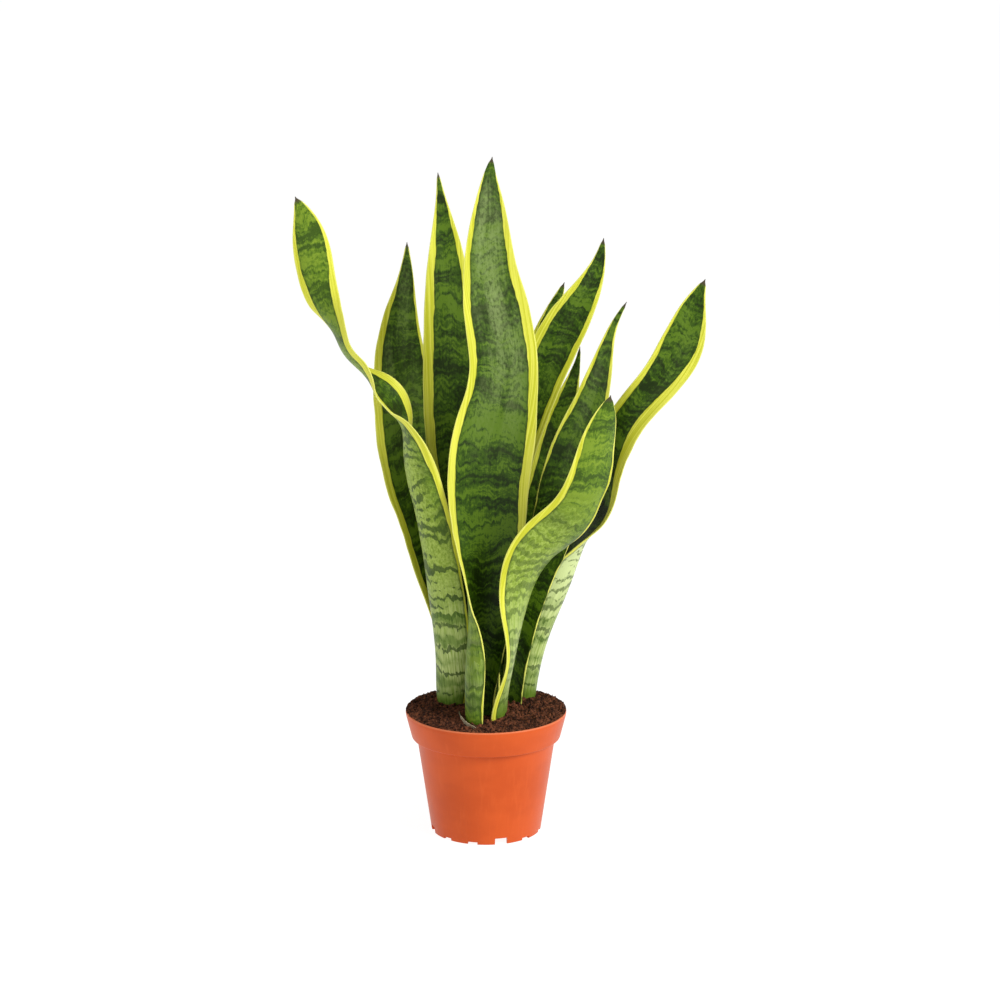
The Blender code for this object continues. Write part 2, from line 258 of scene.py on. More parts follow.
# How each leaf is marked, in the order of MARK_NAMES: widths of its yellow margins at the
# foot and above, first the margin at across -1 and then the one at +1; how far along they
# start to widen; how pale its outer face is low down (over 1 is paler still) and up to what
# share of its length; how strongly that face is banded; and how much grey wax bloom and
# painted sheen the leaf has.
MARK_NAMES = (
    "right_foot", "right_upper", "left_foot", "left_upper",
    "start", "pale", "reach", "banding", "wax_and_sheen",
)
MARKS = {
    "leaf_front_tall": (0.2, 6.8, 0.6, 5.2, 70, 0.3, 0.35, 0.5, 1.0),
    "leaf_front_curved": (3.4, 5.2, 0.6, 2.6, 70, 0.9, 0.60, 0.05, 0.05),
    "leaf_left_twisted": (0.4, 6.6, 1.6, 6.2, 115, 1.0, 0.62, 0.9, 0.05),
    "leaf_right_twisted": (0.6, 8.5, 0.8, 4.4, 100, 1.35, 0.60, 0.6, 0.1),
    "leaf_back_left": (0.4, 2.6, 5.0, 6.6, 70, 0.6, 0.45, 0.7, 0.4),
    "leaf_back_tall": (0.4, 5.5, 0.4, 7.4, 70, 0.6, 0.45, 0.7, 0.1),
    "leaf_back_right": (0.4, 4.6, 0.4, 7.0, 70, 0.6, 0.45, 0.7, 0.1),
    "leaf_back_slim": (0.4, 4.0, 0.4, 4.2, 70, 0.6, 0.45, 0.7, 0.1),
    "leaf_right_middle": (0.2, 3.0, 0.2, 3.3, 150, 0.6, 0.45, 0.7, 0.3),
    "leaf_right_small": (0.4, 3.4, 0.4, 4.0, 70, 0.6, 0.45, 0.7, 0.1),
}


# ---------------------------------------------------------------- small helpers

def srgb(red, green, blue):
    """A linear colour with alpha from screen values of 0 to 255."""
    channels = [c / 255 for c in (red, green, blue)]
    linear = [c / 12.92 if c <= 0.04045 else ((c + 0.055) / 1.055) ** 2.4 for c in channels]
    return (*linear, 1.0)


def smooth(value, low, high):
    """0 below low, 1 above high, with a soft step between them."""
    t = np.clip((np.asarray(value, dtype=float) - low) / (high - low), 0.0, 1.0)
    return t * t * (3 - 2 * t)


def unit(vectors):
    """The vectors at length 1."""
    return vectors / np.maximum(np.linalg.norm(vectors, axis=-1, keepdims=True), 1e-12)


def add_object(name, mesh, material):
    """A linked object with one material."""
    obj = bpy.data.objects.new(name, mesh)
    bpy.context.scene.collection.objects.link(obj)
    mesh.materials.append(material)
    return obj


def add_piece(name, mesh, material, slot, *nodes):
    """A shown piece that rides on the plant and stands for these CAD nodes."""
    piece = add_object(name, mesh, material)
    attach(piece, "root")
    if nodes:
        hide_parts(*nodes)
    return piece


def mesh_from(name, points, faces, smooth_shading=True):
    """A mesh from points in mm and faces given as index rows or lists."""
    mesh = bpy.data.meshes.new(name)
    corners = [list(map(int, face)) for face in faces]
    mesh.from_pydata((np.asarray(points) * MM).tolist(), [], corners)
    mesh.validate()
    if smooth_shading:
        mesh.shade_smooth()
    else:
        mesh.shade_flat()
    return mesh


def store(mesh, name, values):
    """Keep one number per vertex for the materials to read."""
    layer = mesh.attributes.new(name, "FLOAT", "POINT")
    layer.data.foreach_set("value", np.ascontiguousarray(values, dtype=np.float32).ravel())


def grid_faces(rows, columns, closed):
    """Quads between rows of points; closed joins each row's last point to its first."""
    row = np.arange(rows - 1)[:, None] * columns
    column = np.arange(columns if closed else columns - 1)[None, :]
    after = (column + 1) % columns
    corners = (row + column, row + after, row + columns + after, row + columns + column)
    return np.stack(corners, axis=-1).reshape(-1, 4)


class Graph:
    """Short names for the nodes of one material."""

    def __init__(self, name):
        self.material = bpy.data.materials.new(name)
        self.material.use_nodes = True
        self.tree = self.material.node_tree
        self.shader = self.tree.nodes["Principled BSDF"]

    def put(self, socket, value):
        if isinstance(value, bpy.types.NodeSocket):
            self.tree.links.new(value, socket)
        else:
            socket.default_value = value

    def add(self, kind, values, output=0, **settings):
        node = self.tree.nodes.new(kind)
        for key, value in settings.items():
            setattr(node, key, value)
        for key, value in values.items():
            self.put(node.inputs[key], value)
        return node.outputs[output]

    def attribute(self, name):
        return self.add("ShaderNodeAttribute", {}, "Fac", attribute_name=name)

    def position(self):
        """The point on the object, in mm."""
        place = self.add("ShaderNodeTexCoord", {}, "Object")
        return self.add("ShaderNodeVectorMath", {0: place, "Scale": 1 / MM}, operation="SCALE")

    def stretch(self, vector, x, y, z):
        return self.add("ShaderNodeVectorMath", {0: vector, 1: (x, y, z)}, operation="MULTIPLY")

    def math(self, operation, *values):
        return self.add("ShaderNodeMath", dict(enumerate(values)), operation=operation)

    def total(self, *terms):
        """Sum of value and weight pairs."""
        result = None
        for value, weight in terms:
            part = self.math("MULTIPLY", value, weight)
            result = part if result is None else self.math("ADD", result, part)
        return result

    def vector(self, x, y, z):
        return self.add("ShaderNodeCombineXYZ", {"X": x, "Y": y, "Z": z})

    def noise(self, vector, scale, detail=2.0, roughness=0.5):
        values = {"Vector": vector, "Scale": scale, "Detail": detail, "Roughness": roughness}
        return self.add("ShaderNodeTexNoise", values)

    def cells(self, vector, scale, output="Distance"):
        return self.add("ShaderNodeTexVoronoi", {"Vector": vector, "Scale": scale}, output)

    def step(self, value, low, high):
        """0 at low and 1 at high, with a soft step between them; low may be above high."""
        values = {"Value": value, "From Min": low, "From Max": high}
        return self.add("ShaderNodeMapRange", values, interpolation_type="SMOOTHSTEP")

    def between(self, value, low, high):
        """A plain number that runs from low to high as value runs from 0 to 1."""
        values = {"Value": value, "To Min": low, "To Max": high}
        return self.add("ShaderNodeMapRange", values)

    def mix(self, share, first, second):
        values = {0: share, 6: first, 7: second}
        return self.add("ShaderNodeMix", values, 2, data_type="RGBA")

    def bump(self, height, distance):
        values = {"Height": height, "Distance": distance * MM, "Strength": 1.0}
        return self.add("ShaderNodeBump", values)

    def finish(self, **sockets):
        """Set the shader's sockets, with underscores for the spaces in their names."""
        for key, value in sockets.items():
            self.put(self.shader.inputs[key.replace("_", " ")], value)
        return self.material


# ---------------------------------------------------------------- leaf material

class LeafField:
    """Noise laid out on a leaf: across it, along it, and different on each leaf."""

    def __init__(self, graph):
        self.graph = graph
        self.across = graph.attribute("leaf_across")
        self.along = graph.attribute("leaf_along")
        self.seed = graph.attribute("leaf_seed")
        self.crest = self.along

    def read(self, across, along, offset, detail=2.0, roughness=0.5, banded=False):
        """Noise with across and along cells per mm; banded follows the wavy bands."""
        g = self.graph
        x = g.math("MULTIPLY", self.across, across)
        y = g.math("MULTIPLY", self.crest if banded else self.along, along)
        z = g.math("ADD", self.seed, offset)
        return g.noise(g.vector(x, y, z), 1.0, detail, roughness)

    def wave(self, *ripples):
        """Shift the bands along the leaf by ripples of (across, along, offset, height in mm)."""
        g = self.graph
        for across, along, offset, height in ripples:
            shift = g.math("SUBTRACT", self.read(across, along, offset), 0.5)
            self.crest = g.math("ADD", self.crest, g.math("MULTIPLY", shift, height))


def leaf_green(g, field):
    """Dark green with ragged lighter cross-bands, mottled and faintly fibrous."""
    broad = field.read(0.012, 0.050, 3.0, banded=True)
    bands = field.read(0.035, 0.30, 7.0, roughness=0.6, banded=True)
    mottle = field.read(0.50, 0.34, 11.0, detail=3.0, roughness=0.65)
    fibres = field.read(1.1, 0.06, 15.0)
    amount = g.total((broad, 0.95), (bands, 1.15), (mottle, 0.60), (fibres, 0.30))
    inner = g.attribute("leaf_inner")
    dark = g.mix(inner, srgb(54, 80, 8), srgb(28, 46, 4))
    middle = g.mix(inner, srgb(86, 116, 20), srgb(50, 79, 7))
    light = g.mix(inner, srgb(116, 142, 34), srgb(84, 114, 20))
    ground = g.mix(g.step(amount, 1.30, 1.50), dark, middle)
    return g.mix(g.step(amount, 1.48, 1.68), ground, light), mottle, fibres


def leaf_pale(g, field, pale, mottle, fibres):
    """The pale outer face, with sparse dark marks, wavy bands and green belts low down."""
    ground = g.mix(g.step(mottle, 0.36, 0.64), srgb(124, 148, 46), srgb(164, 186, 84))
    ground = g.mix(g.step(pale, 1.0, 1.4), ground, srgb(198, 212, 146))
    foot = g.mix(g.step(fibres, 0.3, 0.7), srgb(134, 158, 68), srgb(192, 206, 130))
    ground = g.mix(g.step(field.along, 130.0, 50.0), ground, foot)
    ground = g.mix(g.step(field.along, 40.0, 10.0), ground, srgb(96, 128, 30))
    uneven = field.read(0.02, 0.07, 21.0, detail=1.0, banded=True)
    pulse = g.math("SINE", g.math("MULTIPLY", field.crest, 0.80))
    bands = g.total((pulse, 0.16), (uneven, 1.0), (mottle, 0.45))
    strong = g.math("MULTIPLY", g.step(field.along, 136.0, 116.0), g.step(field.along, 66.0, 84.0))
    marks = g.step(g.total((bands, 1.0), (field.read(0.30, 0.16, 25.0), 0.6)), 1.11, 1.16)
    wavy_bands = g.math("MULTIPLY", g.step(bands, 0.76, 0.84), strong)
    banding = g.attribute("leaf_banding")
    sparse = g.math("MULTIPLY", marks, g.between(banding, 0.55, 0.85))
    dark = g.math("MAXIMUM", g.math("MULTIPLY", wavy_bands, banding), sparse)
    lined = g.mix(dark, ground, srgb(50, 74, 18))
    swell = g.math("SINE", g.math("MULTIPLY", field.crest, 0.42))
    belt_field = g.total((swell, 0.22), (uneven, 0.8), (mottle, 0.25), (fibres, 0.15))
    belts = g.step(belt_field, 0.50, 0.80)
    low = g.math("MULTIPLY", g.step(field.along, 105.0, 75.0), g.between(banding, 0.1, 0.85))
    streaked = g.mix(g.step(fibres, 0.35, 0.65), srgb(66, 98, 20), srgb(106, 136, 44))
    return g.mix(g.math("MULTIPLY", belts, low), lined, streaked)


def leaf_yellow(g, field, edge):
    """Lemon margin with faint lengthwise streaks, paler at its very edge."""
    streaks = field.read(0.9, 0.012, 33.0, detail=3.0)
    yellow = g.mix(g.step(streaks, 0.36, 0.64), srgb(196, 198, 44), srgb(224, 224, 84))
    pale_edge = g.math("MULTIPLY", g.step(edge, 1.2, 0.2), 0.4)
    return g.mix(pale_edge, yellow, srgb(236, 236, 140))


def leaf_material():
    """One material for all leaves; what differs between them is stored on their vertices."""
    g = Graph("leaf_blade")
    field = LeafField(g)
    edge = g.attribute("leaf_edge")
    margin = g.attribute("leaf_margin")
    tip = g.attribute("leaf_tip")
    field.wave((0.05, 0.02, 1.0, 26.0), (0.20, 0.08, 2.0, 9.0), (0.75, 0.10, 5.0, 2.6))

    green, mottle, fibres = leaf_green(g, field)
    # Grey wax bloom and painted sheen: grainy grey-green patches mixed into the leaf's colour.
    sheen = g.between(g.step(field.read(0.10, 0.014, 41.0, detail=3.0), 0.35, 0.65), 0.15, 1.0)
    grained = g.math("MULTIPLY", sheen, g.total((g.step(mottle, 0.28, 0.64), 0.65), (fibres, 0.6)))
    wax_and_sheen = g.math("MULTIPLY", grained, g.attribute("leaf_wax_and_sheen"))
    green_with_wax_and_sheen = g.mix(g.math("MULTIPLY", wax_and_sheen, 0.80), green, srgb(140, 160, 96))
    pale = g.attribute("leaf_pale")
    faces = g.mix(pale, green_with_wax_and_sheen, leaf_pale(g, field, pale, mottle, fibres))

    wander = g.between(field.read(0.0, 0.035, 45.0, detail=3.0, roughness=0.6), -1.8, 1.8)
    inside = g.math("SUBTRACT", edge, g.math("ADD", margin, wander))
    line_strength = g.between(g.step(tip, 20.0, 90.0), 0.15, 0.55)
    dark_line = g.math("MULTIPLY", g.step(inside, 2.2, 0.4), line_strength)
    lined = g.mix(dark_line, faces, srgb(42, 62, 14))
    body = g.mix(g.step(inside, 0.30, -0.20), lined, leaf_yellow(g, field, edge))
    scorch = g.step(g.math("ADD", tip, g.between(mottle, -2.0, 2.0)), 6.0, 2.5)
    colour = g.mix(scorch, body, srgb(74, 66, 48))

    fibre_height = field.read(2.2, 0.05, 51.0, detail=3.0, roughness=0.7)
    pores = field.read(2.6, 2.6, 55.0)
    relief = g.bump(g.total((fibre_height, 1.0), (pores, 0.5), (mottle, 0.8)), 0.20)
    gloss = g.total((g.between(mottle, 0.34, 0.50), 1.0), (wax_and_sheen, 0.10))
    return g.finish(
        Base_Color=colour, Roughness=gloss, Normal=relief, IOR=1.45,
        Specular_IOR_Level=0.16, Coat_Weight=0.04, Coat_Roughness=0.26,
    )


# ---------------------------------------------------------------- leaf shape

def natural_spline(knots, values, at):
    """Natural cubic spline through values (one row per knot), read at the given positions."""
    steps = np.diff(knots)
    slopes = np.diff(values, axis=0) / steps[:, None]
    count = len(knots)
    system = np.eye(count)
    right = np.zeros_like(values)
    for i in range(1, count - 1):
        system[i, i - 1:i + 2] = steps[i - 1], 2 * (steps[i - 1] + steps[i]), steps[i]
        right[i] = 3 * (slopes[i] - slopes[i - 1])
    curve = np.linalg.solve(system, right)
    cell = np.clip(np.searchsorted(knots, at, side="right") - 1, 0, count - 2)
    local = (at - knots[cell])[:, None]
    step = steps[cell][:, None]
    linear = slopes[cell] - step * (2 * curve[cell] + curve[cell + 1]) / 3
    cubic = (curve[cell + 1] - curve[cell]) / (3 * step)
    return values[cell] + local * (linear + local * (curve[cell] + local * cubic))


def ripple(along, wavelength, seed):
    """Smooth noise of about -1 to 1 along a leaf."""
    return np.array([noise.noise(Vector((s / wavelength, seed, 0.5))) for s in along])


def blade_rows(stations):
    """A leaf's rows: distance from the foot, station values, tangent and inner direction."""
    table = np.array(stations, dtype=float)
    spans = np.linalg.norm(np.diff(table[:, :3], axis=0), axis=1)
    knots = np.concatenate([[0.0], np.cumsum(spans)])
    share = 1.0 - (1.0 - np.linspace(0.0, 1.0, LEAF_ROWS + 1)) ** 1.2
    at = share * knots[-1]
    rows = natural_spline(knots, table, at)
    ahead = natural_spline(knots, table[:, :3], np.minimum(at + 0.5, knots[-1]))
    behind = natural_spline(knots, table[:, :3], np.maximum(at - 0.5, 0.0))
    tangent = unit(ahead - behind)
    turn = np.radians(rows[:, 4])
    inner = np.stack([np.sin(turn), -np.cos(turn), np.zeros(len(turn))], axis=1)
    inner = unit(inner - tangent * np.sum(inner * tangent, axis=1, keepdims=True))
    return at, rows, tangent, inner


def leaf_sheet(stations, seed):
    """The middle sheet of a leaf, its rows' distance and width, and its columns' places."""
    at, rows, tangent, inner = blade_rows(stations)
    to_tip = at[-1] - at
    across = np.sin(np.linspace(-1.0, 1.0, FACE_COLUMNS) * math.pi / 2)
    side = np.cross(inner, tangent)
    width = np.maximum(rows[:, 3], 1.0) * (1.0 + 0.02 * ripple(at, 26.0, seed))
    width *= 0.35 + 0.65 * smooth(to_tip, 0.0, 5.0)
    roll = np.radians(np.maximum(rows[:, 5], 4.0))
    radius = (width / roll)[:, None]
    swing = across[None, :] * roll[:, None] / 2
    out = (radius * np.sin(swing))[..., None] * side[:, None, :]
    lift = (radius * (1 - np.cos(swing)))[..., None] * inner[:, None, :]
    sheet = rows[:, None, :3] + out + lift
    return sheet, at, width, across


def wavy(sheet, normals, at, across, seed):
    """Let the margins undulate a little, more on the upper half and none at foot or tip."""
    window = smooth(at, 60.0, 160.0) * smooth(at[-1] - at, 5.0, 60.0)
    left = ripple(at, 30.0, seed + 3.1) + 0.5 * ripple(at, 12.0, seed + 5.3)
    right = ripple(at, 30.0, seed + 7.7) + 0.5 * ripple(at, 12.0, seed + 9.1)
    share = smooth((across + 1) / 2, 0.0, 1.0)[None, :]
    shift = (left[:, None] * (1 - share) + right[:, None] * share) * np.abs(across)[None, :] ** 2.5
    return sheet + normals * (EDGE_WAVE * window[:, None] * shift)[..., None]


def sheet_normals(sheet):
    """Unit normals of the sheet, out of the leaf's inner face."""
    return unit(np.cross(np.gradient(sheet, axis=0), np.gradient(sheet, axis=1)))


def half_thickness(at, width, across):
    """Half the blade's thickness: full at the foot's midrib, thin and round at the margins."""
    share = at / at[-1]
    lengthwise = 1.0 - (1.0 - TIP_SHARE) * share ** 0.8
    lengthwise = lengthwise * (0.35 + 0.65 * smooth(at[-1] - at, 0.0, 12.0))
    crosswise = MARGIN_SHARE + (1.0 - MARGIN_SHARE) * (1.0 - np.abs(across) ** 2.5)
    half = BLADE_THICKNESS / 2 * lengthwise[:, None] * crosswise[None, :]
    edge = (1.0 - np.abs(across))[None, :] * width[:, None] / 2
    rounding = np.minimum(edge / np.maximum(half, 0.05), 1.0)
    return half * np.sqrt(1.0 - (1.0 - rounding) ** 2)


def mark_leaf(mesh, marks, seed, at, width, across):
    """Store what the leaf material reads on each vertex."""
    ring = np.concatenate([across, across[-2:0:-1]])
    inner = np.concatenate([np.ones(len(across)), np.zeros(len(across) - 2)])
    share = at / at[-1]
    to_tip = at[-1] - at
    size = (len(at), len(ring))
    growth = smooth(at, marks["start"], marks["start"] + 120.0)[:, None]
    right = marks["right_foot"] + (marks["right_upper"] - marks["right_foot"]) * growth
    left = marks["left_foot"] + (marks["left_upper"] - marks["left_foot"]) * growth
    margin = np.where(ring[None, :] < 0.0, right, left)
    margin = np.minimum(margin, 0.3 * width[:, None]) * smooth(to_tip, -30.0, 110.0)[:, None]
    # Where the wax bloom and painted sheen lie: the middle of each leaf's upper half.
    centre = 1.0 - smooth(np.abs(ring), 0.3, 1.0)
    height = smooth(share, 0.40, 0.80) * smooth(to_tip, 4.0, 30.0)
    reach = marks["reach"]
    low = marks["pale"] * (1.0 - smooth(share, reach - 0.12, reach + 0.18))
    # Painted shade: the pale outer face turns dark green on its side at across +1, above a quarter
    # of the leaf's length.
    painted_shade_side = smooth(ring, 0.1, 0.8)[None, :] * smooth(share, 0.25, 0.45)[:, None]
    low = low[:, None] * (1.0 - 0.8 * painted_shade_side)
    store(mesh, "leaf_along", np.broadcast_to(at[:, None], size))
    store(mesh, "leaf_across", width[:, None] / 2 * ring[None, :])
    store(mesh, "leaf_edge", (1.0 - np.abs(ring))[None, :] * width[:, None] / 2)
    store(mesh, "leaf_margin", margin)
    store(mesh, "leaf_inner", np.broadcast_to(inner, size))
    store(mesh, "leaf_tip", np.broadcast_to(to_tip[:, None], size))
    store(mesh, "leaf_seed", np.full(size, seed * 13.7))
    store(mesh, "leaf_banding", np.full(size, marks["banding"]))
    store(mesh, "leaf_wax_and_sheen", marks["wax_and_sheen"] * height[:, None] * centre[None, :])
    store(mesh, "leaf_pale", low * (1.0 - inner)[None, :])


def leaf_mesh(name, stations, seed):
    """A closed leaf: its inner face, its outer face and a lid at the foot and the tip."""
    sheet, at, width, across = leaf_sheet(stations, seed)
    sheet = wavy(sheet, sheet_normals(sheet), at, across, seed)
    normals = sheet_normals(sheet)
    half = half_thickness(at, width, across)
    inner_face = sheet + normals * half[..., None]
    outer_face = (sheet - normals * half[..., None])[:, -2:0:-1]
    points = np.concatenate([inner_face, outer_face], axis=1)
    rows, columns = points.shape[:2]
    faces = grid_faces(rows, columns, True)[:, ::-1].tolist()
    faces.append(list(range(columns)))
    faces.append(list(range(rows * columns - 1, (rows - 1) * columns - 1, -1)))
    mesh = mesh_from(name + "_blade", points.reshape(-1, 3), faces)
    mark_leaf(mesh, dict(zip(MARK_NAMES, MARKS[name])), seed, at, width, across)
    return mesh


def add_leaves():
    material = leaf_material()
    for index, (name, stations) in enumerate(LEAVES.items()):
        mesh = leaf_mesh(name, stations, index + 1.0)
        add_piece(name + "_blade", mesh, material, "leaf_green", name)


# ---------------------------------------------------------------- pot

def rounded(corners):
    """A profile from (radius, height, rounding) corners, each corner made into a curve."""
    places = np.array([corner[:2] for corner in corners], dtype=float)
    path = []
    for index, (place, corner) in enumerate(zip(places, corners)):
        rounding = corner[2]
        if rounding == 0 or index in (0, len(corners) - 1):
            path.append(place)
            continue
        start = place + unit(places[index - 1] - place) * rounding
        end = place + unit(places[index + 1] - place) * rounding
        for t in np.linspace(0.0, 1.0, CORNER_POINTS):
            path.append((1 - t) ** 2 * start + 2 * t * (1 - t) * place + t * t * end)
    return path


def wall_radius(z):
    """Outer radius of the pot's plain wall at a height."""
    return BASE_RADIUS + (NECK_RADIUS - BASE_RADIUS) * z / COLLAR_FOOT


def pot_profile():
    """The pot's section, from the middle of its floor, round the outside and back inside."""
    floor_top = FLOOR_RAISE + FLOOR_THICKNESS
    neck_wall = wall_radius(COLLAR_FOOT)
    return rounded([
        (0.0, WALL, 0.0),
        (BOSS_RADIUS - 1.5, WALL, 0.3),
        (BOSS_RADIUS - 0.5, floor_top, 0.5),
        (wall_radius(floor_top) - WALL, floor_top, 1.0),
        (neck_wall - WALL, COLLAR_FOOT + 0.6, 0.4),
        (COLLAR_FOOT_RADIUS - WALL - 0.4, COLLAR_FOOT + 1.6, 0.4),
        (RIM_RADIUS - WALL, POT_HEIGHT, 0.6),
        (RIM_RADIUS, POT_HEIGHT, 0.9),
        (RIM_RADIUS - 0.35, POT_HEIGHT - 3.0, 0.6),
        (COLLAR_FOOT_RADIUS, COLLAR_FOOT, 1.0),
        (NECK_RADIUS, COLLAR_FOOT - 0.3, 0.8),
        (wall_radius(36.0), 36.0, 0.0),
        (BASE_RADIUS, 0.0, 0.7),
        (BASE_RADIUS - 2.2, 0.0, 0.4),
        (BASE_RADIUS - 2.4, FLOOR_RAISE, 0.5),
        (BOSS_RADIUS + 1.0, FLOOR_RAISE, 0.5),
        (BOSS_RADIUS, 0.0, 0.4),
        (0.0, 0.0, 0.0),
    ])


def revolved(name, profile, steps):
    """A mesh turned from (radius, height) points; points on the axis close it."""
    middle = np.array(profile[1:-1])
    angles = np.linspace(0.0, math.tau, steps, endpoint=False)
    ring = np.stack([np.cos(angles), np.sin(angles)], axis=1)
    points = np.concatenate([
        middle[:, None, :1] * ring[None, :, :],
        np.broadcast_to(middle[:, None, 1:], (len(middle), steps, 1)),
    ], axis=2).reshape(-1, 3)
    first, last = len(points), len(points) + 1
    points = np.vstack([points, [0.0, 0.0, profile[0][1]], [0.0, 0.0, profile[-1][1]]])
    faces = grid_faces(len(middle), steps, True)[:, ::-1].tolist()
    end = (len(middle) - 1) * steps
    for i in range(steps):
        after = (i + 1) % steps
        faces.append([first, i, after])
        faces.append([last, end + after, end + i])
    return mesh_from(name, points, faces)


def box_cutter(bm, centre, size, turn):
    """A box whose first axis points away from the pot's axis at a turn in degrees."""
    sine, cosine = math.sin(math.radians(turn)), math.cos(math.radians(turn))
    for corner in bmesh.ops.create_cube(bm, size=1.0)["verts"]:
        x = centre[0] + corner.co.x * size[0]
        y = centre[1] + corner.co.y * size[1]
        z = centre[2] + corner.co.z * size[2]
        corner.co = Vector((x * cosine - y * sine, x * sine + y * cosine, z)) * MM


def drain_cutters():
    """Blocks for the foot notches and rods for the floor holes, in one mesh."""
    bm = bmesh.new()
    notches = ((0.0, DEEP_NOTCH), (-30.0, SHALLOW_NOTCH), (30.0, SHALLOW_NOTCH))
    for index in range(NOTCH_SETS):
        first = -90.0 + NOTCH_TURN + index * 360.0 / NOTCH_SETS
        for offset, (width, height) in notches:
            centre = (BASE_RADIUS, 0.0, height / 2 - 1.0)
            box_cutter(bm, centre, (6.0, width, height + 2.0), first + offset)
    radius = DRAIN_RADIUS * MM
    for index in range(DRAIN_HOLES):
        angle = math.tau * (index + 0.5) / DRAIN_HOLES
        rod = bmesh.ops.create_cone(
            bm, cap_ends=True, segments=32, radius1=radius, radius2=radius, depth=10 * MM
        )["verts"]
        x, y = DRAIN_RING * math.cos(angle), DRAIN_RING * math.sin(angle)
        bmesh.ops.translate(bm, verts=rod, vec=Vector((x, y, FLOOR_RAISE)) * MM)
    mesh = bpy.data.meshes.new("drain_cutters")
    bm.to_mesh(mesh)
    bm.free()
    return mesh


def cut_away(mesh, cutter_mesh):
    """The mesh with the cutters taken out of it."""
    body = bpy.data.objects.new("cut_body", mesh)
    cutter = bpy.data.objects.new("cut_tool", cutter_mesh)
    for obj in (body, cutter):
        bpy.context.scene.collection.objects.link(obj)
    boolean = body.modifiers.new("cut", "BOOLEAN")
    boolean.operation = "DIFFERENCE"
    boolean.object = cutter
    evaluated = body.evaluated_get(bpy.context.evaluated_depsgraph_get())
    result = bpy.data.meshes.new_from_object(evaluated)
    for obj in (body, cutter):
        bpy.data.objects.remove(obj, do_unlink=True)
    result.shade_smooth()
    result.set_sharp_from_angle(angle=math.radians(SHARP_ANGLE))
    return result


def pot_material():
    """Satin terracotta-orange polypropylene with faint flow marks, fine scuffs and a painted
    highlight along the rim.
    """
    g = Graph("pot_plastic")
    place = g.position()
    clouds = g.noise(g.stretch(place, 0.02, 0.02, 0.035), 1.0, 3.0, 0.55)
    flow = g.noise(g.stretch(place, 0.30, 0.30, 0.012), 1.0, 3.0, 0.6)
    orange = g.mix(g.step(clouds, 0.35, 0.65), srgb(194, 76, 20), srgb(204, 83, 25))
    orange = g.mix(g.math("MULTIPLY", g.step(flow, 0.5, 0.75), 0.25), orange, srgb(214, 96, 38))
    height = g.add("ShaderNodeSeparateXYZ", {0: place}, 2)
    specks = g.step(g.cells(place, 0.42), 0.13, 0.05)
    patches = g.step(g.noise(place, 0.09, 2.0), 0.54, 0.66)
    dusty = g.math("MULTIPLY", g.step(height, 84.0, 92.0), patches)
    dust = g.math("MULTIPLY", specks, g.math("MULTIPLY", dusty, 0.7))
    colour = g.mix(dust, orange, srgb(96, 58, 38))
    # Painted highlight: a light salmon band along the top of the rim, where its rounded edge
    # catches the light.
    painted_rim_highlight = g.math("MULTIPLY", g.step(height, 90.5, 91.6), 0.45)
    colour = g.mix(painted_rim_highlight, colour, srgb(238, 146, 104))
    grain = g.noise(place, 1.6, 3.0, 0.6)
    scuffs = g.noise(g.stretch(place, 0.6, 0.6, 3.0), 1.0, 2.0)
    relief = g.bump(g.total((grain, 0.5), (flow, 0.8)), 0.06)
    rough = g.total((g.between(clouds, 0.32, 0.46), 1.0), (g.step(scuffs, 0.55, 0.8), 0.12))
    return g.finish(
        Base_Color=colour, Roughness=rough, Normal=relief, IOR=1.49, Specular_IOR_Level=0.22
    )


def add_pot():
    mesh = cut_away(revolved("pot_shell", pot_profile(), POT_STEPS), drain_cutters())
    mesh.materials.clear()
    add_piece("pot_shell", mesh, pot_material(), "pot_plastic", "pot")


# ---------------------------------------------------------------- soil

def backness(angle):
    """1 at the back and sides of the pot, 0 at its front."""
    return smooth(np.sin(angle), -0.75, -0.05)


def soil_height(radius, angle):
    """Height of the smooth heap."""
    edge = SOIL_FRONT_EDGE + (SOIL_BACK_EDGE - SOIL_FRONT_EDGE) * backness(angle)
    return edge + (SOIL_CROWN - edge) * (1.0 - (radius / RIM_RADIUS) ** 2)


def soil_rim(angle):
    """Radius at which the heap meets the pot's wall."""
    return SOIL_FRONT_RADIUS + (SOIL_BACK_RADIUS - SOIL_FRONT_RADIUS) * backness(angle)


def grain_height(x, y):
    """Crumbly relief at a place on the heap."""
    lumps = noise.fractal(Vector((x / 9.0, y / 9.0, 2.0)), 1.0, 2.0, 3)
    coarse = 0.5 - noise.voronoi(Vector((x / 4.2, y / 4.2, 5.0)))[0][0]
    fine = 0.5 - noise.voronoi(Vector((x / 2.0, y / 2.0, 9.0)))[0][0]
    return 0.8 * lumps + 2.6 * coarse + 1.3 * fine


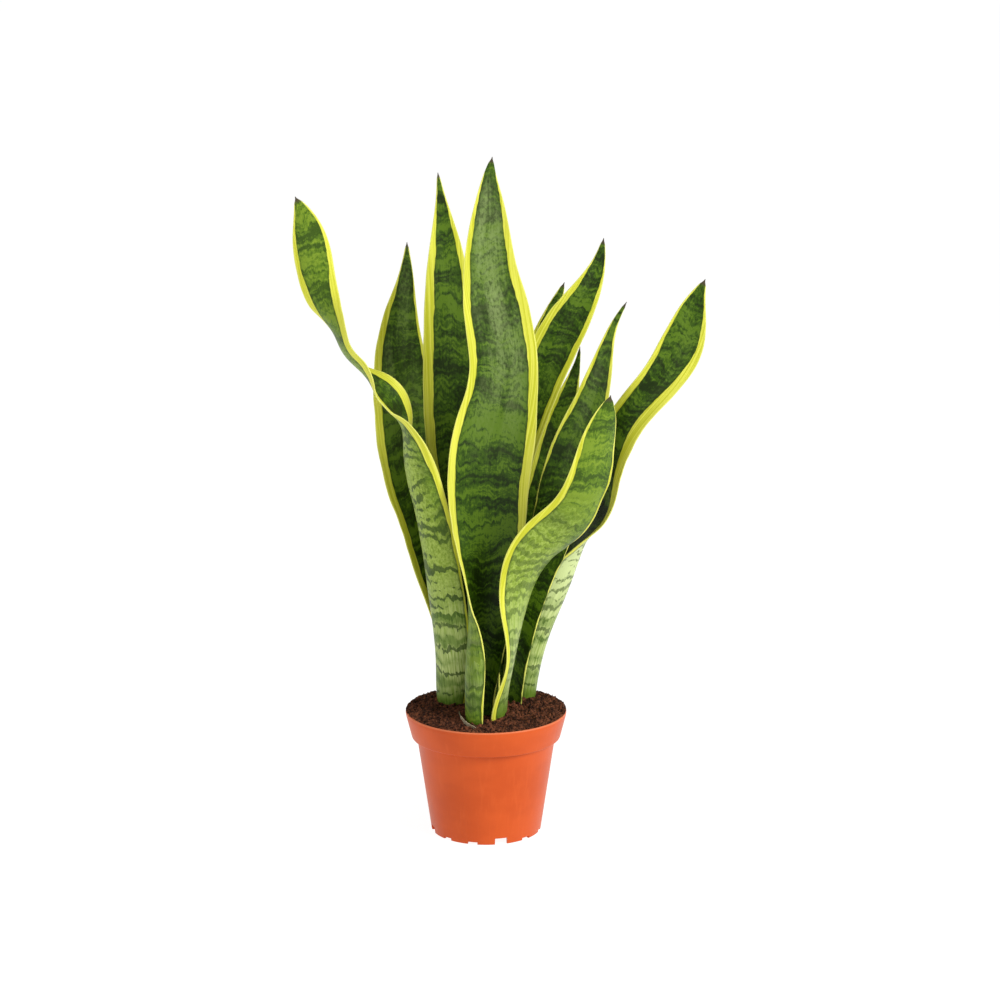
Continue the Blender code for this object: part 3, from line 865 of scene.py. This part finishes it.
def soil_mesh():
    """The crumbly heap, closed by a skirt and a flat base hidden inside the pot."""
    angles = np.linspace(0.0, math.tau, SOIL_SPOKES, endpoint=False)
    rim = soil_rim(angles)
    rings = []
    for share in np.linspace(1.0, 0.01, SOIL_RINGS):
        radius = rim * share
        x, y = radius * np.cos(angles), radius * np.sin(angles)
        relief = np.array([grain_height(a, b) for a, b in zip(x, y)])
        z = soil_height(radius, angles) + relief * smooth(1.0 - share, -0.01, 0.02)
        rings.append(np.stack([x, y, z], axis=1))
    skirt = np.stack([
        SOIL_SKIRT_RADIUS * np.cos(angles),
        SOIL_SKIRT_RADIUS * np.sin(angles),
        np.full(SOIL_SPOKES, SOIL_SKIRT_HEIGHT),
    ], axis=1)
    points = np.concatenate([skirt, *rings])
    faces = grid_faces(SOIL_RINGS + 1, SOIL_SPOKES, True).tolist()
    faces.append(list(range(SOIL_SPOKES))[::-1])
    faces.append(list(range(SOIL_RINGS * SOIL_SPOKES, (SOIL_RINGS + 1) * SOIL_SPOKES)))
    mesh = mesh_from("soil_heap", points, faces)
    store(mesh, "soil_tone", np.full(len(points), 0.5))
    return mesh


def crumb_shape():
    """Vertices and faces of one plain crumb of radius 1."""
    bm = bmesh.new()
    bmesh.ops.create_icosphere(bm, subdivisions=1, radius=1.0)
    points = np.array([tuple(v.co) for v in bm.verts])
    faces = np.array([[v.index for v in face.verts] for face in bm.faces])
    bm.free()
    return points, faces


def turned_at_random():
    """A random rotation matrix."""
    matrix, _ = np.linalg.qr(RNG.normal(size=(3, 3)))
    return matrix * np.sign(np.linalg.det(matrix))


def crumbs_mesh():
    """Loose lumps and fibres of peat strewn over the heap and onto the rim behind."""
    shape, shape_faces = crumb_shape()
    points, faces, tones = [], [], []
    for index in range(CRUMBS):
        angle = RNG.uniform(0.0, math.tau)
        radius = float(soil_rim(angle)) * math.sqrt(RNG.uniform(0.0, 1.0)) - 0.4
        size = min(CRUMB_SIZE * math.exp(RNG.normal(0.0, 0.45)), CRUMB_MOST)
        stretch = np.array([1.0, RNG.uniform(0.6, 1.0), RNG.uniform(0.6, 1.0)])
        if index % FIBRE_EVERY == 0:
            stretch *= (2.6, 0.5, 0.5)
        lumpy = shape * (1.0 + RNG.uniform(-0.28, 0.28, size=(len(shape), 1)))
        x, y = radius * math.cos(angle), radius * math.sin(angle)
        relief = grain_height(x, y) * (0.6 if radius < 57.0 else 0.2)
        z = float(soil_height(radius, angle)) + relief + 0.35 * size
        points.append((lumpy * stretch * size) @ turned_at_random().T + (x, y, z))
        faces.append(shape_faces + index * len(shape))
        tones.append(np.full(len(shape), RNG.uniform(0.0, 1.0)))
    points, faces = np.concatenate(points), np.concatenate(faces)
    mesh = mesh_from("soil_crumbs", points, faces, smooth_shading=False)
    store(mesh, "soil_tone", np.concatenate(tones))
    return mesh


def soil_material():
    """Damp dark peat: reddish brown, mottled, with a few lighter fibres."""
    g = Graph("potting_soil")
    place = g.position()
    tone = g.attribute("soil_tone")
    clumps = g.noise(place, 0.16, 4.0, 0.6)
    grains = g.cells(place, 0.55)
    grain_tone = g.cells(place, 0.55, "Color")
    amount = g.total((clumps, 0.7), (tone, 0.45), (grain_tone, 0.45), (grains, -0.45))
    brown = g.mix(g.step(amount, 0.30, 0.95), srgb(44, 20, 10), srgb(132, 78, 50))
    fleck = g.step(g.noise(g.stretch(place, 1.8, 0.5, 1.0), 1.0, 2.0), 0.68, 0.76)
    colour = g.mix(g.math("MULTIPLY", fleck, 0.6), brown, srgb(138, 102, 72))
    relief = g.bump(g.total((g.noise(place, 1.8, 4.0, 0.7), 1.0), (grains, -1.0)), 0.7)
    return g.finish(Base_Color=colour, Roughness=0.9, Normal=relief, Specular_IOR_Level=0.25)


def add_soil():
    material = soil_material()
    add_piece("soil_heap", soil_mesh(), material, "potting_soil", "potting_soil")
    add_piece("soil_crumbs", crumbs_mesh(), material, "potting_soil")


# ---------------------------------------------------------------- dry scale

def scale_mesh():
    """A thin papery strip with a curled upper edge."""
    knots = np.linspace(0.0, 1.0, len(SCALE_PATH))
    fine = np.linspace(0.0, 1.0, 70)
    table = np.column_stack([SCALE_PATH, SCALE_HEIGHTS])
    rows = natural_spline(knots, table, fine)
    ahead = unit(np.gradient(rows[:, :2], axis=0))
    outward = np.stack([-ahead[:, 1], ahead[:, 0]], axis=1)
    angle = np.arctan2(rows[:, 1], rows[:, 0])
    ground = soil_height(np.hypot(rows[:, 0], rows[:, 1]), angle) - 0.6
    levels = np.linspace(0.0, 1.0, 9)
    sheet = []
    for level in levels:
        curl = 0.9 * level ** 2 + 0.25 * ripple(fine * SCALE_LENGTH, 7.0, 3.0 + level)
        rise = rows[:, 2] * (level + 0.05 * level * ripple(fine * SCALE_LENGTH, 4.0, 8.0))
        plan = rows[:, :2] - outward * curl[:, None]
        sheet.append(np.column_stack([plan, ground + rise]))
    sheet = np.stack(sheet, axis=1)
    faces = grid_faces(len(fine), len(levels), False)
    return mesh_from("dry_scale_strip", sheet.reshape(-1, 3), faces)


def scale_material():
    """Dry, veined papery skin."""
    g = Graph("dry_scale")
    place = g.position()
    veins = g.noise(g.stretch(place, 0.5, 0.5, 3.0), 1.0, 3.0, 0.6)
    colour = g.mix(g.step(veins, 0.38, 0.62), srgb(150, 132, 100), srgb(214, 202, 170))
    return g.finish(Base_Color=colour, Roughness=0.75, Normal=g.bump(veins, 0.15))


def add_dry_scale():
    mesh, material = scale_mesh(), scale_material()
    piece = add_piece("dry_scale_strip", mesh, material, "dry_scale", "dry_scale")
    solid = piece.modifiers.new("thickness", "SOLIDIFY")
    solid.thickness = SCALE_THICKNESS * MM
    solid.offset = 0.0


# ---------------------------------------------------------------- studio

def add_floor():
    """A white floor that runs far behind the plant and gives off some light of its own."""
    mesh = bpy.data.meshes.new("floor")
    half = FLOOR_HALF
    corners = [(-half, -half, 0.0), (half, -half, 0.0), (half, half, 0.0), (-half, half, 0.0)]
    mesh.from_pydata(corners, [], [(0, 1, 2, 3)])
    material = bpy.data.materials.new("floor")
    material.use_nodes = True
    shader = material.node_tree.nodes["Principled BSDF"]
    shader.inputs["Base Color"].default_value = (FLOOR_TONE, FLOOR_TONE, FLOOR_TONE, 1.0)
    shader.inputs["Emission Color"].default_value = WHITE
    shader.inputs["Emission Strength"].default_value = FLOOR_GLOW
    shader.inputs["Roughness"].default_value = 1.0
    shader.inputs["Specular IOR Level"].default_value = 0.0
    add_object("floor", mesh, material)


def add_light(name, place, aim, size, power):
    """A square soft box; place, aim and size are in metres, power in watts."""
    data = bpy.data.lights.new(name, "AREA")
    data.size = size
    data.energy = power
    light = bpy.data.objects.new(name, data)
    light.location = place
    light.rotation_euler = (Vector(aim) - Vector(place)).to_track_quat("-Z", "Y").to_euler()
    bpy.context.scene.collection.objects.link(light)


def add_studio():
    """Dim white surroundings and two soft boxes; the camera sees a brighter white backdrop."""
    scene = bpy.context.scene
    world = bpy.data.worlds.new("studio")
    world.use_nodes = True
    tree = world.node_tree
    light = tree.nodes["Background"]
    light.inputs["Color"].default_value = WHITE
    light.inputs["Strength"].default_value = AMBIENT
    backdrop = tree.nodes.new("ShaderNodeBackground")
    backdrop.inputs["Color"].default_value = WHITE
    seen = tree.nodes.new("ShaderNodeLightPath").outputs["Is Camera Ray"]
    either = tree.nodes.new("ShaderNodeMixShader")
    tree.links.new(seen, either.inputs[0])
    tree.links.new(light.outputs[0], either.inputs[1])
    tree.links.new(backdrop.outputs[0], either.inputs[2])
    tree.links.new(either.outputs[0], tree.nodes["World Output"].inputs["Surface"])
    scene.world = world
    scene.view_settings.view_transform = "Standard"
    add_light("key", (1.7, -1.2, 1.4), (0.0, 0.0, 0.22), 1.0, 50.0)
    add_light("fill", (-1.6, -1.6, 0.9), (0.0, 0.0, 0.25), 1.6, 10.0)


def add_camera():
    """A short telephoto 1.8 m in front, looking down a little."""
    data = bpy.data.cameras.new("camera")
    data.sensor_width = 36.0
    data.lens = CAMERA_LENS
    camera = bpy.data.objects.new("camera", data)
    camera.location = CAMERA_PLACE
    camera.rotation_euler = (math.radians(90.0 - CAMERA_DIP), 0.0, 0.0)
    bpy.context.scene.collection.objects.link(camera)
    bpy.context.scene.camera = camera


add_camera()
add_studio()
add_floor()
add_pot()
add_soil()
add_dry_scale()
add_leaves()
